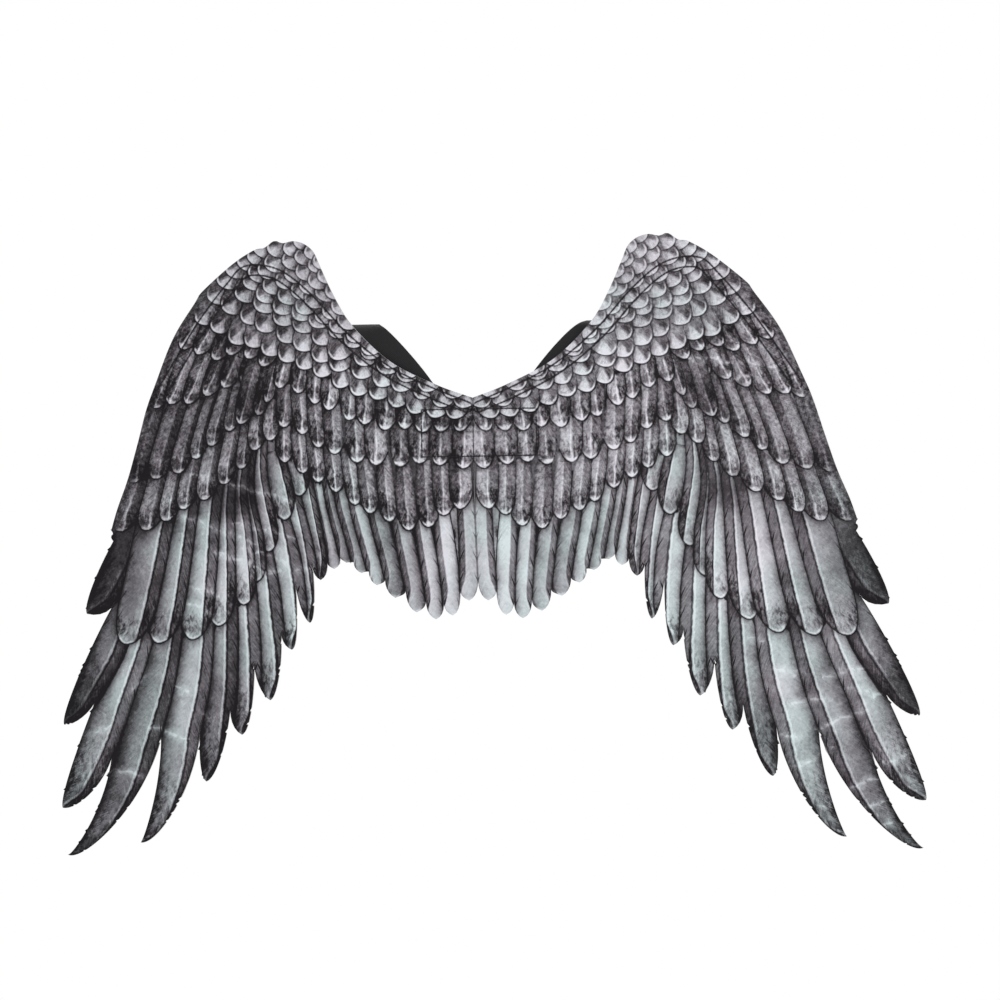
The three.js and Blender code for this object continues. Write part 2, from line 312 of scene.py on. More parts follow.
# Square studio lights: name, place and size in metres, and share of the main light's power
LIGHTS = (
    ("key", (2.3, -2.2, 1.6), 1.2, 1.15),
    ("fill", (-2.2, -2.8, 0.4), 2.0, 0.35),
    ("front", (0.4, 2.6, 1.4), 2.0, 0.8),
)

# Creases left in the cloth by its packing: start and end (x, z), for the right and the left wing
RIGHT_CREASES = [
    (258, -236, 300, -234),
    (282, -260, 326, -243),
    (263, -292, 284, -285),
    (305, -312, 337, -303),
    (282, -327, 296, -322),
    (300, -222, 345, -231),
    (338, -290, 364, -283),
    (284, -281, 300, -274),
    (180, 62, 262, 52),
    (216, 43, 250, 47),
    (246, -206, 278, -212),
    (252, -262, 272, -268),
    (318, -330, 346, -322),
    (330, -345, 352, -340),
    (288, -215, 330, -206),
    (225, -176, 244, -184),
]
LEFT_CREASES = [
    (150, -58, 250, -30),
    (190, -92, 262, -66),
    (154, -87, 214, -74),
    (162, -108, 205, -95),
    (214, -106, 239, -95),
    (141, -112, 192, -117),
    (154, -57, 184, -48),
    (214, -142, 252, -129),
    (226, -155, 261, -142),
    (180, -118, 226, -98),
    (295, -204, 312, -223),
    (252, -223, 274, -215),
    (235, -245, 252, -236),
    (329, -288, 342, -296),
    (262, -262, 300, -250),
    (290, -300, 330, -288),
    (330, -250, 360, -262),
]


def smoothstep(value, low, high):
    share = np.clip((value - low) / (high - low), 0, 1)
    return share * share * (3 - 2 * share)


def pattern_point(out, down):
    return np.array((out * HALF_SPAN, TOP_Z - down * WING_HEIGHT))


def catmull_rom(points, steps):
    """A smooth curve through the points, with the same number of steps between each two."""
    points = np.array(points, float)
    ends = [2 * points[0] - points[1], *points, 2 * points[-1] - points[-2]]
    curve = []
    for a, b, c, d in zip(ends, ends[1:], ends[2:], ends[3:]):
        for step in range(steps):
            t = step / steps
            bend = (2 * a - 5 * b + 4 * c - d) * t**2 + (3 * b - a - 3 * c + d) * t**3
            curve.append(0.5 * (2 * b + (c - a) * t + bend))
    curve.append(points[-1])
    return np.array(curve)


def unit(vectors):
    return vectors / np.linalg.norm(vectors, axis=-1, keepdims=True)


def turned_left(vectors):
    return np.stack([-vectors[..., 1], vectors[..., 0]], -1)


def step_lengths(line):
    return np.linalg.norm(np.diff(line, axis=0), axis=1)


def along_curve(curve, count):
    """Points spaced evenly along a curve."""
    lengths = np.concatenate([[0], np.cumsum(step_lengths(curve))])
    wanted = np.linspace(0, 1, count) * lengths[-1]
    return np.stack([np.interp(wanted, lengths, curve[:, axis]) for axis in range(curve.shape[1])], -1)


def channel_line(steps):
    return catmull_rom([pattern_point(*place) for place in CHANNEL_LINE], steps)


def channel_path(count):
    """Points spaced evenly along the middle of a channel, and the way across it at each."""
    line = along_curve(channel_line(20), count)
    return line, turned_left(unit(np.gradient(line, axis=0)))


def hang_at(x, z):
    """How far the cloth stands forward at a place of the pattern, in millimetres."""
    lean = smoothstep(x, FLAT_HALF, LEAN_FULL)
    leaning = FOLD_SLOPE * (x - FLAT_HALF) + LEAN_SLOPE * (TOP_Z - z)
    waist = WAIST_SLOPE * np.maximum(0, -WAIST_DROP - z)
    low = smoothstep(TOP_Z - z, WING_HEIGHT / 3, WING_HEIGHT)
    ripple = np.sin(2 * math.pi * (x + RIPPLE_SLANT * z) / RIPPLE_PITCH)
    return lean * leaning + (1 - lean) * waist + RIPPLE_DEPTH * low * lean * ripple


def fray(points, random):
    """Cuts a few small nicks into a feather's side, as the ragged edge of the cloth has."""
    frayed = [points[0]]
    for before, after in zip(points, points[1:]):
        step = after - before
        length = np.linalg.norm(step)
        if length > 2.5 and random.random() < 0.16:
            inward = turned_left(step) / length * random.uniform(0.5, 1.6)
            frayed.append(before + 0.62 * step + inward)
            frayed.append(before + 0.7 * step)
        frayed.append(after)
    return frayed


def cut_line(base, tip, axis, width, bow, sign):
    """A side of a cut feather from base to tip, or its middle line where the sign is 0."""
    across = turned_left(axis)
    reach = (tip - base) @ axis
    shift = -bow * FEATHER_WIDTH * across
    leaving = base + 0.45 * reach * axis + shift
    end_length = 0.4 * width * FEATHER_WIDTH * axis
    arriving = tip + sign * width * FEATHER_WIDTH * across + 0.5 * shift - end_length
    t = np.linspace(0, 1, max(5, int(reach / 4)) + 1)[:, None]
    line = (1 - t) ** 3 * base + 3 * (1 - t) ** 2 * t * leaving
    return line + 3 * (1 - t) * t**2 * arriving + t**3 * tip


def cloth_outline(random):
    """The cut edge of a wing, anticlockwise from the foot of the seam."""
    edge = along_curve(catmull_rom([pattern_point(*share) for share in UPPER_EDGE], 12), 190)
    outline = [pattern_point(0, SEAM_FOOT)]
    notches = [pattern_point(0, SEAM_FOOT)] + [pattern_point(*row[4:]) for row in TIPS]
    for (out, down, width, bow, _, _), first, last in zip(TIPS, notches, notches[1:]):
        tip = pattern_point(out, down)
        axis = unit(tip - (first + last) / 2)
        sides = []
        for sign, notch in ((-1, first), (1, last)):
            side = list(cut_line(notch, tip, axis, width, bow, sign))
            sides.append(fray(side, random) if (tip - notch) @ axis > 30 else side)
        outline += sides[0][1:] + sides[1][-2::-1]
    outline += list(edge[::-1])
    return np.array(outline)


def grain_at(point):
    """The way that a feather points at a place, as a unit vector."""
    places = np.array(GRAIN, float)
    weight = 1 / (np.sum((places[:, :2] - point) ** 2, axis=1) + 60) ** 1.6
    angle = math.radians(np.sum(weight * places[:, 2]) / np.sum(weight))
    return np.array((math.sin(angle), -math.cos(angle)))


class Feather:
    """One printed feather. Its middle line starts with the points given, from the tip back, and
    then follows the grain."""

    def __init__(self, kind, head, length, half_width, random):
        line = [np.array(point, float) for point in head]
        left = length - sum(np.linalg.norm(after - before) for before, after in zip(line, line[1:]))
        steps = max(5, int(left / 9))
        for _ in range(steps):
            line.append(line[-1] - grain_at(line[-1]) * left / steps)
        self.line = np.array(line[::-1])
        self.kind = kind
        self.length = length
        self.half_width = half_width
        self.tone = random.random()
        self.flipped = False
        self.end = min(0.5, ENDS[kind][0] * half_width / length)
        self.outline = self.make_outline()

    def width_at(self, share):
        """Half the feather's width at a share of its length, from root to tip."""
        near = np.clip((share - 1 + self.end) / self.end, 0, 1)
        taper = 0.72 + 0.28 * smoothstep(share, 0, 0.45)
        return self.half_width * taper * np.maximum(1 - near**2, 0) ** ENDS[self.kind][1]

    def make_outline(self):
        """The feather's outline, from its root round its end, which leans a little to one side."""
        body = np.linspace(0, 1 - self.end, max(4, int(self.length / 10)))
        turn = np.linspace(0, 1, 9)[1:]
        shares = np.concatenate([body, 1 - self.end + self.end * np.sin(turn * math.pi / 2)])
        middle = along_curve(self.line, 200)
        even = np.linspace(0, 1, len(middle))

        def at_shares(values):
            return np.stack([np.interp(shares, even, values[:, i]) for i in (0, 1)], -1)

        places = at_shares(middle)
        across = turned_left(unit(at_shares(np.gradient(middle, axis=0))))
        lean = 0.18 * self.half_width * np.clip((shares - 1 + self.end) / self.end, 0, 1) ** 2
        places = places + across * lean[:, None]
        across = across * self.width_at(shares)[:, None]
        return np.concatenate([places - across, (places + across)[-2::-1]])

    def place(self, points):
        """Where points lie on the feather: (along from the root, across) in millimetres."""
        start = self.line[:-1]
        step = self.line[1:] - start
        size = np.linalg.norm(step, axis=1)
        offset = points[:, None] - start[None]
        share = np.sum(offset * step, -1) / size**2
        low = np.where(np.arange(len(start)) == 0, -9, 0)
        high = np.where(np.arange(len(start)) == len(start) - 1, 9, 1)
        share = np.clip(share, low, high)
        gap = offset - share[..., None] * step
        nearest = np.argmin(np.sum(gap**2, -1), axis=1)
        row = np.arange(len(points))
        turn = step[nearest]
        side = (turn[:, 0] * gap[row, nearest, 1] - turn[:, 1] * gap[row, nearest, 0]) / size[nearest]
        along = np.concatenate([[0], np.cumsum(size)])[nearest] + share[row, nearest] * size[nearest]
        return along, side


def distance_to_line(points, line):
    """Distance from each point to a broken line."""
    nearest = np.full(len(points), 1e9)
    for start, end in zip(line, line[1:]):
        step = end - start
        offset = points - start
        share = np.clip(offset @ step / max(step @ step, 1e-9), 0, 1)
        gap = offset - share[:, None] * step
        nearest = np.minimum(nearest, np.sum(gap**2, axis=1))
    return np.sqrt(nearest)


def channel_values(points):
    """Where points lie on the stiffening channel: (across it, along it) in millimetres."""
    across = np.full(len(points), FAR)
    along = np.zeros(len(points))
    line = channel_line(8)
    travelled = 0
    for start, end in zip(line, line[1:]):
        length = np.linalg.norm(end - start)
        ahead = (end - start) / length
        offset = points - start
        forward = offset @ ahead
        side = ahead[0] * offset[:, 1] - ahead[1] * offset[:, 0]
        gap = np.hypot(side, forward - np.clip(forward, 0, length))
        nearer = gap < np.abs(across)
        across[nearer] = np.where(side < 0, -gap, gap)[nearer]
        along[nearer] = (travelled + forward)[nearer]
        travelled += length
    return np.stack([across, along], -1)


def cut_feathers(random):
    """The feathers whose tips are cut out along the lower edge, and those that show between them."""
    between, inner, outer = [], [], []
    before = pattern_point(0, SEAM_FOOT)
    for out, down, width, bow, notch_out, notch_down in TIPS[:-1]:
        tip, notch = pattern_point(out, down), pattern_point(notch_out, notch_down)
        base = (before + notch) / 2
        middle = cut_line(base, tip, unit(tip - base), width, bow, 0)[::-1]
        middle[0] += 2 * unit(tip - middle[1])
        kind = QUILL if tip[0] > QUILLS_FROM else BLADE
        length = 110 + 160 * smoothstep(tip[0], 130, 300)
        half_width = np.linalg.norm(notch - before) * (0.56 if kind == QUILL else 0.47)
        half_width = np.clip(half_width, *((6, 17) if kind == QUILL else (5, 8)))
        before = notch
        for row, head in ((between, [notch]), (outer if kind == QUILL else inner, middle)):
            row.append(Feather(kind, head, length, half_width, random))
            row[-1].flipped = kind == BLADE
    return between + inner[::-1] + outer


def row_of_feathers(kind, count, lengths, overlap, tips, random):
    """A row of feathers side by side. Each short one lies over the next one outwards, each long
    one over the next one inwards."""
    places = along_curve(catmull_rom(tips, 12), count)
    between = np.gradient(places, axis=0)
    row = []
    for number, place in enumerate(places):
        grain = grain_at(place)
        space = abs(between[number][0] * grain[1] - between[number][1] * grain[0])
        place = place + between[number] * random.uniform(-0.1, 0.1) + grain * random.uniform(-1.5, 1.5)
        length = np.interp(number / (count - 1), (0, 1), lengths) * random.uniform(0.96, 1.04)
        half_width = max(overlap * space, 4.5) * random.uniform(0.95, 1.07)
        row.append(Feather(kind, [place], length, half_width, random))
        row[-1].flipped = kind == COVERT and place[0] > 165 and place[1] < 8
    return row if kind == LONG else row[::-1]


def wing_sheet():
    """The flat cloth of one wing: its points, triangles and the feather printed on each."""
    random = np.random.default_rng(RANDOM_START)
    outline = cloth_outline(random)
    feathers = cut_feathers(random)
    for row in ROWS:
        feathers += row_of_feathers(*row, random)
    low, high = outline.min(0), outline.max(0)
    ticks = [np.arange(low[axis], high[axis], MESH_PITCH) for axis in (0, 1)]
    grid = np.stack([values.ravel() for values in np.meshgrid(*ticks)], -1)
    grid += random.uniform(-MESH_SHIFT, MESH_SHIFT, grid.shape)
    points = [*outline]
    faces = [list(range(len(outline)))]
    for feather in feathers:
        faces.append(list(range(len(points), len(points) + len(feather.outline))))
        points += [*feather.outline]
    points += [*grid]
    flat, _, triangles, _, _, owners = delaunay_2d_cdt([Vector(p) for p in points], [], faces, 0, 1e-4)
    flat = np.array([tuple(p) for p in flat])
    kept = [(triangle, max(owner)) for triangle, owner in zip(triangles, owners) if 0 in owner]
    corners = np.array([triangle for triangle, _ in kept])
    top = np.array([owner for _, owner in kept]) - 1
    used, corners = np.unique(corners, return_inverse=True)
    return flat[used], corners.reshape(-1, 3), top, feathers, outline


def cover_gap(points, above):
    """Distance to the outline of a feather that lies above, larger away from its rounded end."""
    from_tip = above.length - above.place(points)[0]
    faded = OUTLINE_FADE[above.kind] * np.maximum(from_tip - 1.2 * above.half_width, 0)
    return distance_to_line(points, above.outline) + faded


def shade_at(places):
    """How light the print is at each place, as a share."""
    shade = np.ones(len(places))
    for x, z, reach, amount in DARK_PLACES:
        away = np.sum((places - (x, z)) ** 2, axis=1) / reach**2
        shade = shade * (1 - amount * np.exp(-away))
    return shade


def print_values(points, triangles, top, feathers, outline):
    """What the print is at each corner of each triangle, as arrays for the mesh's UV maps. It is
    worked out once for each pair of a point and the feather, or the margin, on top of it."""
    owners = len(feathers) + 1
    pairs, back = np.unique(triangles.ravel() * owners + np.repeat(top, 3) + 1, return_inverse=True)
    places = points[pairs // owners]
    tops = pairs % owners - 1
    place = np.zeros((len(places), 2))
    shape = np.zeros((len(places), 2))
    edge = np.full((len(places), 2), FAR)
    look = np.full((len(places), 2), float(MARGIN))
    cut = distance_to_line(places, np.vstack([outline, outline[:1]]))
    lead = distance_to_line(places, catmull_rom([pattern_point(*p) for p in UPPER_EDGE[14:]], 3))
    boxes = [(feather.outline.min(0), feather.outline.max(0)) for feather in feathers]
    for number in range(-1, len(feathers)):
        mine = np.flatnonzero(tops == number)
        if not len(mine):
            continue
        here = places[mine]
        if number >= 0:
            feather = feathers[number]
            along, across = feather.place(here)
            across = -across if feather.flipped else across
            width = np.maximum(feather.width_at(np.clip(along / feather.length, 0, 1 - feather.end)), 1)
            place[mine] = np.stack([across, feather.length - along], -1)
            shape[mine] = np.stack([across / width, np.full(len(mine), feather.tone)], -1)
            own = distance_to_line(here, feather.outline)
            edge[mine, 0] = np.minimum(own, cut[mine] + 0.4) if feather.kind < COVERT else own
            look[mine, 0] = feather.kind
        cover = np.full(len(mine), FAR)
        for above, (low, high) in list(zip(feathers, boxes))[number + 1 :]:
            inside = (here > low - SHADE_REACH) & (here < high + SHADE_REACH)
            near = np.flatnonzero(np.all(inside, axis=1))
            if len(near):
                cover[near] = np.minimum(cover[near], cover_gap(here[near], above))
        edge[mine, 1] = cover
    look[:, 1] = shade_at(places)
    lead = np.exp(-lead / 9)
    return place[back], shape[back], edge[back], look[back], lead[back]


def crease_values(places, creases):
    """Distance to the nearest crease at each place, larger where the crease fades out."""
    nearest = np.full(len(places), FAR)
    for x0, z0, x1, z1 in creases:
        start, end = np.array((x0, z0), float), np.array((x1, z1), float)
        length = np.linalg.norm(end - start)
        ahead = (end - start) / length
        offset = places - start
        along = offset @ ahead
        wave = 0.9 * np.sin(along / 5) + 0.5 * np.sin(along / 2.3)
        across = np.abs(offset @ turned_left(ahead) + wave)
        reach = smoothstep(along, -4, 8) * smoothstep(length - along, -4, 8)
        nearest = np.minimum(nearest, across / np.maximum(reach, 0.05))
    return nearest


def deselect():
    bpy.ops.object.select_all(action="DESELECT")


def new_mesh_object(name, points, faces):
    mesh = bpy.data.meshes.new(name)
    mesh.from_pydata(points, [], faces)
    obj = bpy.data.objects.new(name, mesh)
    bpy.context.scene.collection.objects.link(obj)
    deselect()
    obj.select_set(True)
    bpy.context.view_layer.objects.active = obj
    return obj


def set_uv(mesh, name, values):
    layer = mesh.uv_layers.new(name=name)
    layer.data.foreach_set("uv", np.asarray(values, np.float32).ravel())


def finish_piece(obj, material_name, node=None):
    """Gives a piece its material and its place in the frame."""
    material = bpy.data.materials[material_name]
    if material not in obj.data.materials[:]:
        obj.data.materials.append(material)
    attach(obj, "root")
    if node:
        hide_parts(node)


def linear(color):
    """A screen colour, with shares from 0 to 1, as the linear colour that shaders use."""
    return (*[s / 12.92 if s <= 0.04045 else ((s + 0.055) / 1.055) ** 2.4 for s in color], 1.0)


def between_colors(first, second, share):
    return [a + (b - a) * share for a, b in zip(first, second)]


def scaled_color(color, amount):
    return [min(1, value * amount) for value in color]


class Graph:
    """Short calls for a material's nodes."""

    def __init__(self, name, roughness, specular=0.25):
        self.material = bpy.data.materials.new(name)
        self.material.use_nodes = True
        self.nodes = self.material.node_tree.nodes
        self.links = self.material.node_tree.links
        self.shader = self.nodes["Principled BSDF"]
        self.shader.inputs["Roughness"].default_value = roughness
        self.shader.inputs["Specular IOR Level"].default_value = specular

    def feed(self, socket, value):
        if isinstance(value, bpy.types.NodeSocket):
            self.links.new(value, socket)
        else:
            socket.default_value = value

    def math(self, operation, *values):
        node = self.nodes.new("ShaderNodeMath")
        node.operation = operation
        for socket, value in zip(node.inputs, values):
            self.feed(socket, value)
        return node.outputs[0]

    def add(self, *values):
        total = values[0]
        for value in values[1:]:
            total = self.math("ADD", total, value)
        return total

    def times(self, *values):
        total = values[0]
        for value in values[1:]:
            total = self.math("MULTIPLY", total, value)
        return total

    def less(self, value):
        return self.math("SUBTRACT", 1.0, value)

    def size(self, value):
        return self.math("ABSOLUTE", value)

    def step(self, value, low, high):
        """A smooth step from 0 at low to 1 at high, where low may be the larger."""
        node = self.nodes.new("ShaderNodeMapRange")
        node.interpolation_type = "SMOOTHSTEP"
        for socket, number in zip(node.inputs, (value, low, high)):
            self.feed(socket, number)
        return node.outputs[0]

    def choose(self, share, first, second):
        node = self.nodes.new("ShaderNodeMix")
        for socket, value in zip((node.inputs[0], node.inputs[2], node.inputs[3]), (share, first, second)):
            self.feed(socket, value)
        return node.outputs[0]

    def uv(self, name):
        node = self.nodes.new("ShaderNodeUVMap")
        node.uv_map = name
        return self.parts(node.outputs[0])[:2]

    def parts(self, vector):
        node = self.nodes.new("ShaderNodeSeparateXYZ")
        self.links.new(vector, node.inputs[0])
        return node.outputs[:]

    def object_point(self):
        return self.nodes.new("ShaderNodeTexCoord").outputs["Object"]

    def combine(self, *values):
        node = self.nodes.new("ShaderNodeCombineXYZ")
        for socket, value in zip(node.inputs, values):
            self.feed(socket, value)
        return node.outputs[0]

    def noise(self, vector, scale, detail=2.0, roughness=0.5):
        node = self.nodes.new("ShaderNodeTexNoise")
        self.feed(node.inputs["Vector"], vector)
        node.inputs["Scale"].default_value = scale
        node.inputs["Detail"].default_value = detail
        node.inputs["Roughness"].default_value = roughness
        return node.outputs["Fac"]

    def chance(self, value):
        """A random share that is the same wherever the value is the same."""
        node = self.nodes.new("ShaderNodeTexWhiteNoise")
        node.noise_dimensions = "1D"
        self.feed(node.inputs["W"], value)
        return node.outputs["Value"]

    def ramp(self, value, stops):
        node = self.nodes.new("ShaderNodeValToRGB")
        self.feed(node.inputs[0], value)
        ramp = node.color_ramp
        while len(ramp.elements) < len(stops):
            ramp.elements.new(0.5)
        for element, (position, color) in zip(ramp.elements, stops):
            element.position = position
            element.color = linear(color)
        return node.outputs[0]

    def color(self, value, stops):
        self.links.new(self.ramp(value, stops), self.shader.inputs["Base Color"])

    def tinted_color(self, color, tint):
        node = self.nodes.new("ShaderNodeMix")
        node.data_type = "RGBA"
        node.blend_type = "MULTIPLY"
        node.inputs[0].default_value = 1
        self.links.new(color, node.inputs[6])
        self.links.new(tint, node.inputs[7])
        self.links.new(node.outputs[2], self.shader.inputs["Base Color"])

    def bump(self, height, strength, distance):
        node = self.nodes.new("ShaderNodeBump")
        node.inputs["Strength"].default_value = strength
        node.inputs["Distance"].default_value = distance
        self.feed(node.inputs["Height"], height)
        self.links.new(node.outputs[0], self.shader.inputs["Normal"])

    def felt_height(self):
        point = self.object_point()
        fibres = self.noise(point, 900, 3, 0.6)
        return self.add(self.times(fibres, 0.4), self.times(self.noise(point, 120), 0.6))


def scale_print(g, from_tip, width, barbs, spots, tone):
    """Small round feathers: a light wedge down the middle and a darker outer side."""
    half = g.add(g.times(g.step(from_tip, 14, 1), 0.7), 0.16)
    wedge = g.step(g.size(g.add(width, 0.08)), half, g.times(half, 0.35))
    outer_dark = g.times(g.step(width, 0.1, 0.5), g.step(from_tip, 1.2, 3), g.step(from_tip, 15, 8))
    wedge = g.times(wedge, g.add(0.1, g.times(g.step(from_tip, 17, 3), 0.24)))
    light = g.add(0.34, wedge, g.times(barbs, 0.55), g.times(tone, 0.1))
    return g.add(light, g.times(outer_dark, -0.15), g.times(spots, 0.12))


def covert_print(g, from_tip, width, barbs, spots, tone, own):
    """Middle feathers: a light inner vane, a bright quill and an outer vane mottled near its tip."""
    offset = g.add(width, -0.06, g.times(g.step(from_tip, 18, 2), -0.16))
    inner = g.step(offset, 0.06, -0.06)
    mottled = g.step(g.add(from_tip, g.times(spots, 12)), 34, 16)
    outer_light = g.choose(mottled, g.add(0.36, g.times(tone, 0.1)), g.add(0.12, g.times(spots, 0.34)))
    inner_light = g.add(0.48, g.times(tone, 0.18), g.times(spots, 0.1))
    light = g.choose(inner, outer_light, inner_light)
    streak = g.times(g.step(g.size(offset), 0.2, 0.03), g.step(from_tip, 52, 6))
    streak = g.times(streak, g.add(0.14, g.times(tone, 0.14), g.times(spots, 0.06)))
    light = g.add(light, streak, g.times(barbs, 0.55), g.times(g.step(own, 2.6, 0.2), -0.14))
    worn = g.times(inner, g.step(g.add(from_tip, g.times(spots, 14)), 26, 12), 0.7)
    light = g.choose(worn, light, g.add(0.25, streak, g.times(spots, 0.14)))
    tip = g.step(g.add(from_tip, g.times(g.size(offset), 5)), 7, 3)
    return g.add(light, g.times(tip, g.add(0.18, g.times(spots, 0.24))))


def long_print(g, from_tip, width, barbs, spots, tone, own, is_quill, is_blade, outward):
    """Long feathers: a grey vane that is dark near the tip, a fine quill and a wide light vane.
    Returns the lightness and the share of the grey vane."""
    outer_quill = g.times(is_quill, outward)
    tip_bend = g.add(g.times(is_blade, 0.6), g.times(is_quill, -0.4))
    bend = g.add(0.4, g.times(g.step(from_tip, 26, 3), tip_bend), g.times(spots, -0.05))
    offset = g.add(width, bend)
    soft = g.add(0.03, g.times(is_blade, 0.12))
    grey = g.step(offset, soft, g.times(soft, -1.0))
    near_tip = g.times(g.step(g.add(from_tip, g.times(spots, 20)), 62, 26), g.less(g.times(is_blade, 0.8)))
    light_vane = g.add(g.choose(is_blade, 0.54, 0.44), g.times(tone, g.choose(is_blade, 0.2, 0.36)))
    light_vane = g.add(light_vane, g.times(g.step(width, 0.9, -0.3), 0.08), g.times(outer_quill, -0.12))
    grey_vane = g.choose(near_tip, g.add(0.34, g.times(tone, 0.14)), g.add(0.08, g.times(spots, 0.3)))
    light_vane = g.add(light_vane, g.times(g.step(width, 0.1, 1.0), outer_quill, -0.14))
    light = g.add(g.choose(grey, light_vane, grey_vane), g.times(barbs, g.choose(grey, 0.27, 0.45)))
    crisp = g.less(g.times(is_blade, 0.7))
    light = g.add(light, g.times(g.step(g.size(g.add(offset, -0.08)), 0.08, 0.02), crisp, 0.16))
    light = g.add(light, g.times(g.step(g.size(g.add(offset, 0.06)), 0.08, 0.02), crisp, -0.18))

    # Black splits run from the feather's side up into its vanes
    place = g.add(g.times(g.add(from_tip, g.times(own, -2.4)), 0.055), g.times(tone, 7))
    luck = g.chance(g.math("FLOOR", place))
    split = g.step(g.size(g.add(g.math("FRACT", place), -0.5)), 0.09, 0.03)
    split = g.times(split, g.step(own, g.add(2.2, g.times(luck, 3)), 1.4), g.step(luck, 0.5, 0.55))
    light = g.add(light, g.times(split, g.choose(grey, -0.26, -0.42)))

    # The free ends are mottled and darker towards their sides
    light = g.add(light, g.times(g.step(from_tip, 70, 130), g.less(grey), is_quill, 0.1))
    starts, full = g.add(46, g.times(outward, 54)), g.add(16, g.times(outward, 6))
    tip = g.step(g.add(from_tip, g.times(spots, 34)), starts, full)
    from_middle = g.add(0.5, g.times(g.step(g.size(g.add(width, 0.1)), 0.1, 0.55), 0.5))
    mottled = g.add(0.08, g.times(spots, 0.28), g.times(barbs, 1.2), g.times(g.step(from_tip, 14, 2), 0.26))
    light = g.choose(g.times(tip, is_quill, from_middle, 0.9), light, mottled)
    short_tip = g.step(g.add(from_tip, g.times(spots, 20)), 38, 16)
    short_tip = g.times(short_tip, g.less(is_quill), g.less(is_blade))
    worn = g.add(0.2, g.times(spots, 0.36), g.times(barbs, 0.8), g.times(g.step(from_tip, 9, 2), 0.3))
    light = g.choose(g.times(short_tip, from_middle, 0.75), light, worn)
    side = g.times(g.step(own, 7.0, 0.5), g.step(from_tip, 150, 60), outer_quill)
    return g.add(light, g.times(g.step(own, 2.0, 0.2), -0.16), g.times(side, -0.18)), grey


